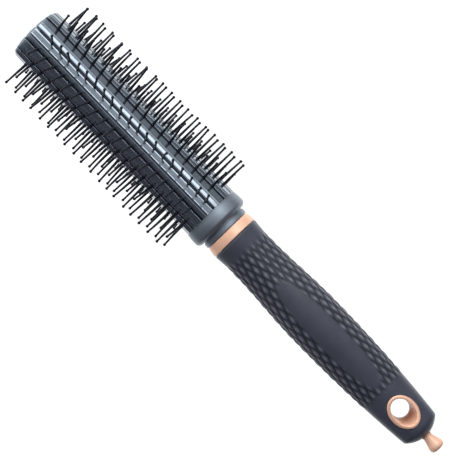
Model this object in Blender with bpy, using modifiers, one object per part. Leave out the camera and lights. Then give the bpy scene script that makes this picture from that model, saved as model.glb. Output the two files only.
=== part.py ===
"""A round styling brush with ball-tipped nylon pins, standing on the free end of its barrel.

Frame: the origin is the middle of the barrel's flat free end, +Z runs along the brush's axis
to the knob at the tail, and the hanging hole runs along Y. Lengths are in metres.
"""

import math

import bmesh
import bpy
from mathutils import Matrix, Vector

MM = 0.001
GAP = 0.3 * MM  # clearance between pieces that touch on the real brush

# Barrel: a tapered shell with twelve slots, a smooth shoulder and a neck, in one moulding
ROWS = 12
FIRST_ROW_ANGLE = math.radians(20)
TIP_RADIUS = 12.15 * MM
ROOT_RADIUS = 12.68 * MM
SHOULDER_Z = 101.1 * MM
TIP_EDGE = 1.0 * MM
BORE_RADIUS = 9.7 * MM
SLOT_WIDTH = 1.6 * MM
SLOT_SINK = 0.977  # the shell's radius beside a slot, over its radius at the middle of a rib
SHOULDER_RADIUS = 13.0 * MM
SHOULDER_CREST_Z = 104.9 * MM
SHOULDER_BACK_Z = 108.1 * MM
SHOULDER_EDGE = 2.2 * MM
NECK_RADIUS = 10.55 * MM
NECK_GROOVE = 0.45 * MM
NECK_GROOVE_WIDTH = 0.6 * MM
NECK_END_Z = 110.75 * MM

# Bristle strips: a foot inside the barrel, a web in the slot and a row of pins
PINS_PER_ROW = 19
PIN_PITCH = 4.85 * MM
FIRST_PIN_Z = (9.45 * MM, 7.0 * MM)  # neighbouring rows are staggered by half a pitch
FIRST_TIP_RADIUS = 23.0 * MM  # from the axis to a pin's tip, at the barrel's free end
LAST_TIP_RADIUS = 24.45 * MM  # and at its shoulder
PIN_LENGTH = 12.9 * MM  # with the root inside the strip
PIN_ROOT_RADIUS = 0.5 * MM
PIN_NECK_RADIUS = 0.37 * MM
PIN_BALL_RADIUS = 0.68 * MM
PIN_SIDES = 5
FOOT_WIDTH = 3.2 * MM
FOOT_THICKNESS = 0.9 * MM
FOOT_TOP_RADIUS = 9.25 * MM
WEB_WIDTH = 1.0 * MM
WEB_RECESS = 0.55 * MM  # how far the web stays below the barrel's surface
WEB_INSET = 0.3 * MM  # how much shorter than the foot the web is at each end

# Tip cap and the twelve-sided tube that the strips' feet rest on
CAP_RADIUS = BORE_RADIUS - GAP
CAP_THICKNESS = 2.4 * MM
CAP_PLUG_LENGTH = 7.0 * MM
CORE_FLAT_RADIUS = FOOT_TOP_RADIUS - FOOT_THICKNESS - GAP
SPIGOT_RADIUS = 6.0 * MM
SPIGOT_BORE_RADIUS = SPIGOT_RADIUS + GAP

# Ring between barrel and grip
RING_START_Z = NECK_END_Z + GAP
RING_END_Z = 115.2 * MM
RING_FRONT_RADIUS = 10.4 * MM
RING_BACK_RADIUS = 10.95 * MM
RING_BORE_RADIUS = 7.4 * MM
RING_EDGE = 0.25 * MM

# Grip: its side outline runs in to a waist, out to a belly and in again to the tail
GRIP_START_Z = RING_END_Z + GAP
GRIP_START_RADIUS = 10.9 * MM
WAIST_Z = 125.6 * MM
WAIST_RADIUS = 10.28 * MM
BELLY_Z = 161.1 * MM
BELLY_RADIUS = 11.65 * MM
TAIL_EDGE_Z = 220.8 * MM
TAIL_RADIUS = 8.83 * MM
TAIL_TAPER_POWER = 2.1
DOME_RADIUS = 11.8 * MM
DOME_TOP_Z = 225.7 * MM
DOME_EDGE = 0.2 * MM
DOME_INSET = 0.3 * MM  # how far below the tail's edge the straight side ends
FLAT_FROM_Z = 148.1 * MM  # from here to the tail the handle grows thinner along Y
FLAT_TO_Z = 206.1 * MM
TAIL_FLATNESS = 0.84
GRIP_SEGMENTS = 32

# Rigid spine inside the grip
SPINE_START_Z = 80.0 * MM
SPINE_RADIUS = 7.6 * MM
SPINE_TAIL_RADIUS = 6.7 * MM
SPINE_TAPER_Z = 194.1 * MM
SPINE_END_Z = 223.1 * MM
SPINE_EDGE = 2.2 * MM

# Hanging eyelet: an oval insert whose hole narrows from both mouths to a round throat
EYELET_Z = 211.7 * MM
EYELET_HALF_LENGTH = 7.6 * MM
EYELET_HALF_WIDTH = 5.9 * MM
EYELET_PROUD = 0.35 * MM
MOUTH_HALF_LENGTH = 6.2 * MM
MOUTH_HALF_WIDTH = 4.45 * MM
MOUTH_Y = 8.0 * MM
THROAT_Z = 210.3 * MM
THROAT_RADIUS = 3.9 * MM
EYELET_SEGMENTS = 24

# Knob at the tail
KNOB_STEM_RADIUS = 1.6 * MM
KNOB_STEM_Z = 220.5 * MM
KNOB_START_Z = DOME_TOP_Z + GAP
KNOB_NECK_RADIUS = 2.0 * MM
KNOB_WIDEST_Z = 230.75 * MM
KNOB_RADIUS = 3.25 * MM
KNOB_END_Z = 233.0 * MM

ROUND_SEGMENTS = 36


# --- helpers -------------------------------------------------------------------------------


def clear_scene():
    for old in list(bpy.data.objects):
        bpy.data.objects.remove(old, do_unlink=True)


def new_collection(name):
    collection = bpy.data.collections.new(name)
    bpy.context.scene.collection.children.link(collection)
    return collection


def make_material(name, color, roughness, metallic=0.0):
    material = bpy.data.materials.new(name)
    material.use_nodes = True
    shader = material.node_tree.nodes["Principled BSDF"]
    shader.inputs["Base Color"].default_value = (*color, 1.0)
    shader.inputs["Roughness"].default_value = roughness
    shader.inputs["Metallic"].default_value = metallic
    return material


def add_object(name, mesh, collection, material=None):
    obj = bpy.data.objects.new(name, mesh)
    collection.objects.link(obj)
    if material:
        mesh.materials.append(material)
    if collection is cutters:
        obj.hide_render = True
        obj.display_type = "WIRE"
    return obj


def mesh_from(bm, name):
    bmesh.ops.recalc_face_normals(bm, faces=bm.faces)
    mesh = bpy.data.meshes.new(name)
    bm.to_mesh(mesh)
    bm.free()
    return mesh


def add_turned(name, profile, collection, material=None, steps=ROUND_SEGMENTS, closed=False):
    """Turns (radius, height) points about Z. They run from the top down the outer side."""
    mesh = bpy.data.meshes.new(name)
    count = len(profile)
    edges = [(i, i + 1) for i in range(count - 1)]
    if closed:
        edges.append((count - 1, 0))
    mesh.from_pydata([(r, 0.0, z) for r, z in profile], edges, [])
    obj = add_object(name, mesh, collection, material)
    screw = obj.modifiers.new("Turn", "SCREW")
    screw.steps = steps
    screw.render_steps = steps
    screw.use_merge_vertices = True
    screw.merge_threshold = 0.00001
    return obj


def add_cutter_boxes(name, boxes):
    """One mesh of separate boxes, each given as (matrix, size)."""
    bm = bmesh.new()
    for matrix, size in boxes:
        bmesh.ops.create_cube(bm, size=1.0, matrix=matrix @ Matrix.Diagonal((*size, 1.0)))
    return add_object(name, mesh_from(bm, name), cutters)


def boolean(target, other, operation):
    modifier = target.modifiers.new(operation.title() + " " + other.name, "BOOLEAN")
    modifier.operation = operation
    modifier.object = other
    return modifier


def evaluated_copy(obj):
    """The object's mesh with its modifiers applied."""
    bpy.context.view_layer.update()
    graph = bpy.context.evaluated_depsgraph_get()
    return bpy.data.meshes.new_from_object(obj.evaluated_get(graph))


def apply_modifiers(obj):
    baked = evaluated_copy(obj)
    obj.modifiers.clear()
    obj.data = baked


def smooth(obj, angle_degrees=35):
    obj.data.shade_smooth()
    obj.data.set_sharp_from_angle(angle=math.radians(angle_degrees))


def arc(center_r, center_z, radius, start_degrees, end_degrees, steps):
    """Points of an arc in the profile plane, counted from +R towards +Z."""
    points = []
    for i in range(steps + 1):
        angle = math.radians(start_degrees + (end_degrees - start_degrees) * i / steps)
        points.append((center_r + radius * math.cos(angle), center_z + radius * math.sin(angle)))
    return points


def mix(a, b, amount):
    return a + (b - a) * amount


def row_angle(row):
    return FIRST_ROW_ANGLE + row * 2 * math.pi / ROWS


# --- barrel --------------------------------------------------------------------------------


def barrel_radius(z):
    return mix(TIP_RADIUS, ROOT_RADIUS, z / SHOULDER_Z)


def add_slotted_shell(collection, material):
    """Two flats between neighbouring slots, so twice as many sides as rows."""
    overlap = 1.0 * MM
    half_step = math.pi / ROWS
    bm = bmesh.new()
    bmesh.ops.create_cone(
        bm,
        cap_ends=True,
        segments=2 * ROWS,
        radius1=TIP_RADIUS,
        radius2=barrel_radius(SHOULDER_Z + overlap),
        depth=SHOULDER_Z + overlap,
    )
    bmesh.ops.translate(bm, verts=bm.verts, vec=(0, 0, (SHOULDER_Z + overlap) / 2))
    for vert in bm.verts:
        if round(math.atan2(vert.co.y, vert.co.x) / half_step) % 2 == 0:
            vert.co.xy *= SLOT_SINK
    tip_edges = [e for e in bm.edges if all(v.co.z < MM for v in e.verts)]
    bmesh.ops.bevel(bm, geom=tip_edges, offset=TIP_EDGE, segments=3, profile=0.5, affect="EDGES")
    bmesh.ops.rotate(bm, verts=bm.verts, matrix=Matrix.Rotation(FIRST_ROW_ANGLE, 3, "Z"))
    return add_object("barrel", mesh_from(bm, "barrel"), collection, material)


def shoulder_profile():
    edge_r = SHOULDER_RADIUS - SHOULDER_EDGE
    edge_z = SHOULDER_BACK_Z - SHOULDER_EDGE
    groove_z = SHOULDER_BACK_Z + NECK_GROOVE_WIDTH
    profile = [(0.0, NECK_END_Z), (NECK_RADIUS, NECK_END_Z), (NECK_RADIUS, groove_z)]
    profile.append((NECK_RADIUS - NECK_GROOVE, groove_z))
    profile.append((NECK_RADIUS - NECK_GROOVE, SHOULDER_BACK_Z))
    profile += arc(edge_r, edge_z, SHOULDER_EDGE, 90, 0, 4)
    profile.append((SHOULDER_RADIUS - 0.05 * MM, SHOULDER_CREST_Z - 2.0 * MM))
    profile.append((ROOT_RADIUS + 0.12 * MM, SHOULDER_Z))
    profile.append((0.0, SHOULDER_Z))
    return profile


def add_barrel(collection, material):
    barrel = add_slotted_shell(collection, material)
    shoulder = add_turned("shoulder_and_neck", shoulder_profile(), cutters)
    boolean(barrel, shoulder, "UNION")

    bore_profile = [
        (0.0, NECK_END_Z + MM),
        (SPIGOT_BORE_RADIUS, NECK_END_Z + MM),
        (SPIGOT_BORE_RADIUS, SHOULDER_Z),
        (BORE_RADIUS, SHOULDER_Z),
        (BORE_RADIUS, -MM),
        (0.0, -MM),
    ]
    boolean(barrel, add_turned("barrel_bore", bore_profile, cutters), "DIFFERENCE")

    slot_boxes = []
    slot_from = BORE_RADIUS - MM
    slot_to = ROOT_RADIUS + 2 * MM
    for row in range(ROWS):
        center = Vector(((slot_from + slot_to) / 2, 0, (SHOULDER_Z - MM) / 2))
        turn = Matrix.Rotation(row_angle(row), 4, "Z")
        size = (slot_to - slot_from, SLOT_WIDTH, SHOULDER_Z + MM)
        slot_boxes.append((turn @ Matrix.Translation(center), size))
    boolean(barrel, add_cutter_boxes("barrel_slots", slot_boxes), "DIFFERENCE")
    apply_modifiers(barrel)
    smooth(barrel, 12)
    return barrel


# --- bristle strips ------------------------------------------------------------------------


def tip_radius(z):
    return mix(FIRST_TIP_RADIUS, LAST_TIP_RADIUS, z / SHOULDER_Z)


def add_pin_row(name, first_z):
    """A row of pins along +X. They rise faster than the barrel, so each stands out a little more."""
    profile = [
        (0.0, 0.0),
        (PIN_BALL_RADIUS, -PIN_BALL_RADIUS),
        (PIN_NECK_RADIUS, -2.2 * PIN_BALL_RADIUS),
        (PIN_ROOT_RADIUS, -PIN_LENGTH),
        (0.0, -PIN_LENGTH),
    ]
    pins = add_turned(name, profile, cutters, steps=PIN_SIDES)
    apply_modifiers(pins)
    place = Matrix.Translation((tip_radius(first_z), 0, first_z))
    pins.data.transform(place @ Matrix.Rotation(math.pi / 2, 4, "Y"))
    array = pins.modifiers.new("Row", "ARRAY")
    array.count = PINS_PER_ROW
    array.use_relative_offset = False
    array.use_constant_offset = True
    rise = tip_radius(first_z + PIN_PITCH) - tip_radius(first_z)
    array.constant_offset_displace = (rise, 0, PIN_PITCH)
    return pins


def strip_span():
    return CAP_THICKNESS + GAP, SHOULDER_Z - GAP


def add_strip_web():
    """The web starts inside the foot and follows the barrel's taper."""
    low, high = strip_span()
    inner = FOOT_TOP_RADIUS - FOOT_THICKNESS / 2
    bm = bmesh.new()
    bmesh.ops.create_cube(bm, size=1.0)
    for vert in bm.verts:
        z = high - WEB_INSET if vert.co.z > 0 else low + WEB_INSET
        outer = barrel_radius(z) - WEB_RECESS
        vert.co = Vector((outer if vert.co.x > 0 else inner, vert.co.y * WEB_WIDTH, z))
    return add_object("strip_web", mesh_from(bm, "strip_web"), cutters)


def make_strip_mesh(name, first_z, web):
    low, high = strip_span()
    bm = bmesh.new()
    bmesh.ops.create_cube(bm, size=1.0)
    bmesh.ops.scale(bm, verts=bm.verts, vec=(FOOT_THICKNESS, FOOT_WIDTH, high - low))
    center = (FOOT_TOP_RADIUS - FOOT_THICKNESS / 2, 0, (low + high) / 2)
    bmesh.ops.translate(bm, verts=bm.verts, vec=center)
    draft = add_object(name, mesh_from(bm, name), cutters)
    boolean(draft, web, "UNION")
    boolean(draft, add_pin_row(name + "_pins", first_z), "UNION")
    return evaluated_copy(draft)


def add_bristle_strips(collection, material):
    web = add_strip_web()
    meshes = [make_strip_mesh(f"strip_draft_{i}", z, web) for i, z in enumerate(FIRST_PIN_Z)]
    for mesh in meshes:
        mesh.materials.clear()
        mesh.materials.append(material)
        mesh.shade_smooth()
        mesh.set_sharp_from_angle(angle=math.radians(50))
    for row in range(ROWS):
        strip = bpy.data.objects.new(f"bristle_strip_{row + 1:02d}", meshes[row % 2])
        strip.rotation_euler.z = row_angle(row)
        collection.objects.link(strip)


# --- inside the barrel ---------------------------------------------------------------------


def add_strip_core(collection, material):
    """A twelve-sided tube, with one flat under each strip's foot."""
    low = CAP_THICKNESS + GAP
    high = SHOULDER_Z - GAP
    half_turn = math.pi / ROWS
    bm = bmesh.new()
    corner = CORE_FLAT_RADIUS / math.cos(half_turn)
    bmesh.ops.create_cone(
        bm, cap_ends=True, segments=ROWS, radius1=corner, radius2=corner, depth=high - low
    )
    bmesh.ops.translate(bm, verts=bm.verts, vec=(0, 0, (low + high) / 2))
    turn = Matrix.Rotation(FIRST_ROW_ANGLE + half_turn, 3, "Z")
    bmesh.ops.rotate(bm, verts=bm.verts, matrix=turn)
    core = add_object("strip_core", mesh_from(bm, "strip_core"), collection, material)
    bore = [
        (0.0, high + MM),
        (SPIGOT_BORE_RADIUS, high + MM),
        (SPIGOT_BORE_RADIUS, low - MM),
        (0.0, low - MM),
    ]
    boolean(core, add_turned("strip_core_bore", bore, cutters, steps=24), "DIFFERENCE")
    return core


def add_tip_cap(collection, material):
    edge = 0.3 * MM
    plug_top = CAP_THICKNESS + CAP_PLUG_LENGTH
    profile = [
        (0.0, plug_top),
        (SPIGOT_RADIUS - 2 * edge, plug_top),
        (SPIGOT_RADIUS, plug_top - 2 * edge),
        (SPIGOT_RADIUS, CAP_THICKNESS),
        (CAP_RADIUS, CAP_THICKNESS),
        (CAP_RADIUS, edge),
        (CAP_RADIUS - edge, 0.0),
        (0.0, 0.0),
    ]
    cap = add_turned("tip_cap", profile, collection, material)
    smooth(cap)
    return cap


# --- handle --------------------------------------------------------------------------------


def grip_radius(z):
    """Half the handle's width at this height."""
    if z < WAIST_Z:
        t = (z - GRIP_START_Z) / (WAIST_Z - GRIP_START_Z)
        return WAIST_RADIUS + (GRIP_START_RADIUS - WAIST_RADIUS) * (1 - t) ** 2
    if z < BELLY_Z:
        t = (z - WAIST_Z) / (BELLY_Z - WAIST_Z)
        return mix(WAIST_RADIUS, BELLY_RADIUS, (1 - math.cos(math.pi * t)) / 2)
    t = (z - BELLY_Z) / (TAIL_EDGE_Z - BELLY_Z)
    return mix(BELLY_RADIUS, TAIL_RADIUS, t**TAIL_TAPER_POWER)


def flatness(z):
    """The handle's thickness along Y over its width along X."""
    t = min(max((z - FLAT_FROM_Z) / (FLAT_TO_Z - FLAT_FROM_Z), 0.0), 1.0)
    return mix(1.0, TAIL_FLATNESS, t * t * (3 - 2 * t))


def flatten(obj):
    apply_modifiers(obj)
    for vert in obj.data.vertices:
        vert.co.y *= flatness(vert.co.z)


def heights(start, end, steps):
    return [mix(start, end, i / steps) for i in range(steps + 1)]


def grip_outline(offset=0.0):
    """The outer side of the grip, from the tail's dome down to the ring."""
    edge_angle = math.degrees(math.acos((TAIL_RADIUS - DOME_EDGE) / DOME_RADIUS))
    profile = arc(0.0, DOME_TOP_Z - DOME_RADIUS, DOME_RADIUS + offset, 90, edge_angle, 5)
    profile[0] = (0.0, profile[0][1])
    for z in heights(TAIL_EDGE_Z - DOME_INSET, GRIP_START_Z, 16):
        profile.append((grip_radius(z) + offset, z))
    return profile


def spine_outline(offset=0.0):
    """The part of the spine inside the grip, from the tail down to the ring."""
    edge = SPINE_EDGE + offset
    end = SPINE_END_Z + offset
    radius = SPINE_TAIL_RADIUS + offset
    profile = [(0.0, end)]
    profile += arc(radius - edge, end - edge, edge, 90, 0, 4)
    profile.append((SPINE_RADIUS + offset, SPINE_TAPER_Z))
    profile.append((SPINE_RADIUS + offset, FLAT_FROM_Z))
    profile.append((SPINE_RADIUS + offset, GRIP_START_Z))
    return profile


def eyelet_plug_mesh(name, offset):
    """The eyelet's oval outside, straight through the handle along Y."""
    bm = bmesh.new()
    size = Matrix.Diagonal((EYELET_HALF_WIDTH + offset, EYELET_HALF_LENGTH + offset, 1.0, 1.0))
    place = Matrix.Translation((0, 0, EYELET_Z)) @ Matrix.Rotation(math.pi / 2, 4, "X")
    bmesh.ops.create_cone(
        bm,
        cap_ends=True,
        segments=EYELET_SEGMENTS,
        radius1=1.0,
        radius2=1.0,
        depth=30 * MM,
        matrix=place @ size,
    )
    return mesh_from(bm, name)


def add_eyelet_hole():
    """The hanging hole: round and narrow in the middle, oval and wide at both mouths."""
    past_mouth = 1.25
    bm = bmesh.new()
    rings = []
    for y in heights(-past_mouth * MOUTH_Y, past_mouth * MOUTH_Y, 10):
        open_out = (abs(y) / MOUTH_Y) ** 1.5
        half_width = mix(THROAT_RADIUS, MOUTH_HALF_WIDTH, open_out)
        half_length = mix(THROAT_RADIUS, MOUTH_HALF_LENGTH, open_out)
        place = Matrix.Translation((0, y, mix(THROAT_Z, EYELET_Z, open_out)))
        turn = Matrix.Rotation(math.pi / 2, 4, "X")
        size = Matrix.Diagonal((half_width, half_length, 1.0, 1.0))
        ring = bmesh.ops.create_circle(
            bm, cap_ends=False, segments=EYELET_SEGMENTS, radius=1.0, matrix=place @ turn @ size
        )
        rings.append({edge for vert in ring["verts"] for edge in vert.link_edges})
    for near, far in zip(rings, rings[1:]):
        bmesh.ops.bridge_loops(bm, edges=list(near | far))
    bmesh.ops.holes_fill(bm, edges=list(rings[0] | rings[-1]), sides=0)
    return add_object("eyelet_hole", mesh_from(bm, "eyelet_hole"), cutters)


def add_handle_spine(collection, material, plug_cutter):
    profile = spine_outline()
    profile += [
        (RING_BORE_RADIUS - GAP, GRIP_START_Z),
        (RING_BORE_RADIUS - GAP, RING_START_Z),
        (SPIGOT_RADIUS, RING_START_Z),
        (SPIGOT_RADIUS, SPINE_START_Z + MM),
        (SPIGOT_RADIUS - MM, SPINE_START_Z),
        (0.0, SPINE_START_Z),
    ]
    spine = add_turned("handle_spine", profile, collection, material, steps=24)
    flatten(spine)
    boolean(spine, plug_cutter, "DIFFERENCE")
    socket = [
        (0.0, SPINE_END_Z + MM),
        (KNOB_STEM_RADIUS + GAP, SPINE_END_Z + MM),
        (KNOB_STEM_RADIUS + GAP, KNOB_STEM_Z - GAP),
        (0.0, KNOB_STEM_Z - GAP),
    ]
    boolean(spine, add_turned("knob_socket", socket, cutters, steps=16), "DIFFERENCE")
    apply_modifiers(spine)
    smooth(spine)
    return spine


def add_grip_sleeve(collection, material, plug_cutter):
    profile = grip_outline()
    profile.append((0.0, GRIP_START_Z))
    sleeve = add_turned("grip_sleeve", profile, collection, material, steps=GRIP_SEGMENTS)
    flatten(sleeve)

    hollow_profile = spine_outline(GAP)
    hollow_profile[-1] = (SPINE_RADIUS + GAP, GRIP_START_Z - MM)
    hollow_profile.append((0.0, GRIP_START_Z - MM))
    hollow = add_turned("sleeve_hollow", hollow_profile, cutters, steps=24)
    flatten(hollow)
    boolean(sleeve, hollow, "DIFFERENCE")
    boolean(sleeve, plug_cutter, "DIFFERENCE")

    stem_hole = [
        (0.0, KNOB_END_Z),
        (KNOB_STEM_RADIUS + GAP, KNOB_END_Z),
        (KNOB_STEM_RADIUS + GAP, SPINE_END_Z - MM),
        (0.0, SPINE_END_Z - MM),
    ]
    boolean(sleeve, add_turned("sleeve_stem_hole", stem_hole, cutters, steps=16), "DIFFERENCE")
    apply_modifiers(sleeve)
    smooth(sleeve)
    return sleeve


def add_hang_eyelet(collection, material):
    """The oval insert, whose ends follow the grip's surface and stand a little proud of it."""
    plug = eyelet_plug_mesh("hang_eyelet", 0.0)
    eyelet = add_object("hang_eyelet", plug, collection, material)
    envelope_profile = grip_outline(EYELET_PROUD)
    envelope_profile.append((0.0, GRIP_START_Z))
    envelope = add_turned("eyelet_envelope", envelope_profile, cutters, steps=48)
    flatten(envelope)
    boolean(eyelet, envelope, "INTERSECT")
    boolean(eyelet, add_eyelet_hole(), "DIFFERENCE")
    apply_modifiers(eyelet)
    smooth(eyelet)
    return eyelet


def add_neck_ring(collection, material):
    edge = RING_EDGE
    profile = [
        (RING_BORE_RADIUS, RING_END_Z),
        (RING_BACK_RADIUS - edge, RING_END_Z),
        (RING_BACK_RADIUS, RING_END_Z - edge),
        (RING_FRONT_RADIUS, RING_START_Z + edge),
        (RING_FRONT_RADIUS - edge, RING_START_Z),
        (RING_BORE_RADIUS, RING_START_Z),
    ]
    ring = add_turned("neck_ring", profile, collection, material, closed=True)
    smooth(ring)
    return ring


def add_tail_knob(collection, material):
    round_over = 1.3 * MM
    profile = [(0.0, KNOB_END_Z)]
    profile += arc(KNOB_RADIUS - round_over, KNOB_END_Z - round_over, round_over, 80, 0, 4)
    profile += [
        (KNOB_RADIUS, KNOB_WIDEST_Z),
        (mix(KNOB_NECK_RADIUS, KNOB_RADIUS, 0.3), mix(KNOB_START_Z, KNOB_WIDEST_Z, 0.45)),
        (KNOB_NECK_RADIUS, KNOB_START_Z + 0.3 * MM),
        (KNOB_NECK_RADIUS, KNOB_START_Z),
        (KNOB_STEM_RADIUS, KNOB_START_Z),
        (KNOB_STEM_RADIUS, KNOB_STEM_Z + 0.4 * MM),
        (KNOB_STEM_RADIUS - 0.4 * MM, KNOB_STEM_Z),
        (0.0, KNOB_STEM_Z),
    ]
    knob = add_turned("tail_knob", profile, collection, material, steps=24)
    smooth(knob)
    return knob


def build():
    brush = new_collection("round_hair_brush")
    barrel_plastic = make_material("barrel_plastic", (0.17, 0.22, 0.24), 0.32, 0.55)
    nylon = make_material("pin_nylon", (0.022, 0.022, 0.026), 0.4)
    inner_plastic = make_material("inner_plastic", (0.05, 0.055, 0.06), 0.5)
    rose_gold = make_material("rose_gold", (0.78, 0.42, 0.27), 0.28, 0.85)
    rubber = make_material("grip_rubber", (0.032, 0.033, 0.042), 0.6)

    add_barrel(brush, barrel_plastic)
    add_bristle_strips(brush, nylon)
    add_strip_core(brush, inner_plastic)
    add_tip_cap(brush, barrel_plastic.copy())
    add_neck_ring(brush, rose_gold)
    plug_cutter = add_object("eyelet_cut", eyelet_plug_mesh("eyelet_cut", GAP), cutters)
    add_handle_spine(brush, inner_plastic.copy(), plug_cutter)
    add_grip_sleeve(brush, rubber, plug_cutter)
    add_hang_eyelet(brush, rose_gold.copy())
    add_tail_knob(brush, rose_gold.copy())


clear_scene()
cutters = new_collection("cutters")
build()
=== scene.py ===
"""Looks of the round hair brush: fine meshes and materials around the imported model.

The frame is the model's own: metres, origin in the middle of the barrel's free end, +Z along the
brush to the tail knob, and the hanging hole along Y.
"""

import math

import bmesh
import bpy
import numpy as np
from mathutils import Matrix, Vector


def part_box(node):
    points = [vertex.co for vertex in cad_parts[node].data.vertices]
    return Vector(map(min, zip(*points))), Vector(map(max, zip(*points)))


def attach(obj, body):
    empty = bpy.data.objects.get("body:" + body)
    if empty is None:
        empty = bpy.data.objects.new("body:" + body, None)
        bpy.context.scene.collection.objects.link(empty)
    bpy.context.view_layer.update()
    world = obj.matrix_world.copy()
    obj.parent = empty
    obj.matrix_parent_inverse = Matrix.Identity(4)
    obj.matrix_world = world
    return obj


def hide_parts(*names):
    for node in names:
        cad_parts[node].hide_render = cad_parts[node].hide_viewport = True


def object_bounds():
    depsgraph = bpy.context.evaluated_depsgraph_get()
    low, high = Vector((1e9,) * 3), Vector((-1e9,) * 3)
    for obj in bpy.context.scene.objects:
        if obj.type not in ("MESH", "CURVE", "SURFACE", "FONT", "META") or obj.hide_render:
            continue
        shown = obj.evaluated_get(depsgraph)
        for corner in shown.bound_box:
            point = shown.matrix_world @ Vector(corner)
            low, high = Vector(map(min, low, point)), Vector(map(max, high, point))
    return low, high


MM = 0.001
SEED = 7

# Barrel
ROWS = 12
FIRST_ROW_ANGLE = math.radians(20)
HALF_STEP = math.pi / ROWS  # from a slot's middle to the crest of the rib beside it
TIP_RADIUS = 12.15 * MM
ROOT_RADIUS = 12.68 * MM
SHOULDER_Z = 101.1 * MM
TIP_EDGE = 1.0 * MM
TIP_CURVE = 4.0 * MM
TIP_CURVE_DROP = 0.25 * MM
BORE_RADIUS = 9.7 * MM
SPIGOT_BORE_RADIUS = 6.3 * MM
SLOT_WIDTH = 1.0 * MM
SLOT_SINK = 0.972  # radius between the slot's edges over the radius at the crests
SLOT_EDGE = 0.2 * MM
BEAD_HALF_WIDTH = 0.32 * MM
BEAD_HEIGHT = 0.022 * MM
LINE_FROM_CREST = 0.85 * MM
LINE_HALF_WIDTH = 0.32 * MM
LINE_DEPTH = 0.085 * MM
SHOULDER_RADIUS = 13.0 * MM
SHOULDER_CREST_Z = 104.9 * MM
SHOULDER_BACK_Z = 108.1 * MM
SHOULDER_EDGE = 2.2 * MM
SHOULDER_SWELL = 0.32 * MM
SHOULDER_SATIN = 0.36  # roughness that the shoulder and neck have and the ribs don't
NECK_RADIUS = 10.55 * MM
NECK_GROOVE = 0.45 * MM
NECK_GROOVE_WIDTH = 0.6 * MM
COLLAR = 0.25 * MM  # how far the parts beside the ring reach towards it
COLLAR_RECESS = 0.5 * MM

# Tip cap
CAP_EDGE = 0.35 * MM
CAP_DISH = 0.5 * MM
CAP_THICKNESS = 2.4 * MM
CAP_PLUG_RADIUS = 6.0 * MM

# Pins
PINS_PER_ROW = 19
PIN_PITCH = 4.85 * MM
FIRST_PIN_Z = (9.45 * MM, 7.0 * MM)  # in rows 1, 3, 5 ... and in rows 2, 4, 6 ...
FIRST_TIP_RADIUS = 23.0 * MM
LAST_TIP_RADIUS = 24.45 * MM
PIN_ROOT_RADIUS = 0.64 * MM
PIN_ROOT_FLATNESS = 0.72
PIN_NECK_RADIUS = 0.42 * MM
PIN_BALL_RADIUS = 0.63 * MM
PIN_LEAN = 0.024  # these three are spreads of random values
PIN_BEND = 0.3 * MM
PIN_LENGTH_SPREAD = 0.1 * MM
PIN_SIDES = 12
FOOT_WIDTH = 3.2 * MM
FOOT_THICKNESS = 0.9 * MM
FOOT_TOP_RADIUS = 9.25 * MM
WEB_WIDTH = 0.8 * MM
WEB_RECESS = 0.55 * MM
WEB_INSET = 0.3 * MM

# Grip outline
GRIP_START_RADIUS = 10.9 * MM
WAIST_Z = 125.6 * MM
WAIST_RADIUS = 10.28 * MM
BELLY_Z = 161.1 * MM
BELLY_RADIUS = 11.65 * MM
TAIL_EDGE_Z = 220.8 * MM
TAIL_RADIUS = 8.83 * MM
TAIL_TAPER_POWER = 2.1
DOME_RADIUS = 11.8 * MM
DOME_TOP_Z = 225.7 * MM
DOME_EDGE = 0.2 * MM
DOME_END_DEGREES = 80.5
FLAT_FROM_Z = 148.1 * MM
FLAT_TO_Z = 206.1 * MM
TAIL_FLATNESS = 0.84
HOLLOW_RADIUS = 7.9 * MM
HOLLOW_TAIL_RADIUS = 7.0 * MM
HOLLOW_TAPER_Z = 194.1 * MM
HOLLOW_END_Z = 223.4 * MM
HOLLOW_CORNER = 2.2 * MM
STEM_HOLE_RADIUS = 1.9 * MM

# Grip texture: a staggered lattice of long, rounded scales around a smooth oval panel
SCALES_AROUND = 22
SCALE_LENGTH = 8.0 * MM
SCALE_HEIGHT = 0.45 * MM
SCALE_MIDDLE = 0.55  # the part of the scales' height that lies under the handle's outline
SCALE_SHARPNESS = 1.2
COLUMNS_PER_SCALE = 14
LEVELS_PER_SCALE = 22
TEXTURE_START_Z = 122.6 * MM
TEXTURE_END_Z = 200.1 * MM
TEXTURE_FADE = 2.5 * MM
PANEL_START_Z = 142.4 * MM
PANEL_END_Z = 195.5 * MM
PANEL_HALF_WIDTH = 5.2 * MM
PANEL_POWER = 2.6
PANEL_RIM = 0.8 * MM

# Eyelet
EYELET_Z = 211.7 * MM
EYELET_HALF_LENGTH = 7.6 * MM
EYELET_HALF_WIDTH = 5.9 * MM
EYELET_PROUD = 0.35 * MM
EYELET_GAP = 0.04 * MM
LIP_SOFTNESS = 0.35 * MM
MOUTH_HALF_LENGTH = 6.2 * MM
MOUTH_HALF_WIDTH = 4.45 * MM
THROAT_Z = 210.3 * MM
THROAT_RADIUS = 3.9 * MM
THROAT_SHADE_REACH = 3.0 * MM  # how far from the middle the funnel's painted shade stays full
FUNNEL_SHADE_END = 7.5 * MM

# Ring
RING_BORE_RADIUS = 7.4 * MM
RING_FRONT_RADIUS = 10.4 * MM
RING_EDGE = 0.35 * MM
RING_CROWN = 0.07 * MM

# Knob
KNOB_STEM_RADIUS = 1.6 * MM
KNOB_NECK_RADIUS = 2.0 * MM
KNOB_WIDEST_Z = 230.75 * MM
KNOB_RADIUS = 3.25 * MM
KNOB_EDGE = 1.35 * MM

# Camera: the image plane's scale and its turn about the view axis
CAMERA_DISTANCE = 664 * MM
CAMERA_TARGET = Vector((-0.95 * MM, 0.0, 114.4 * MM))
CAMERA_WIDTH = 189 * MM
AXIS_SLOPE = math.radians(45.83)

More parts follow.
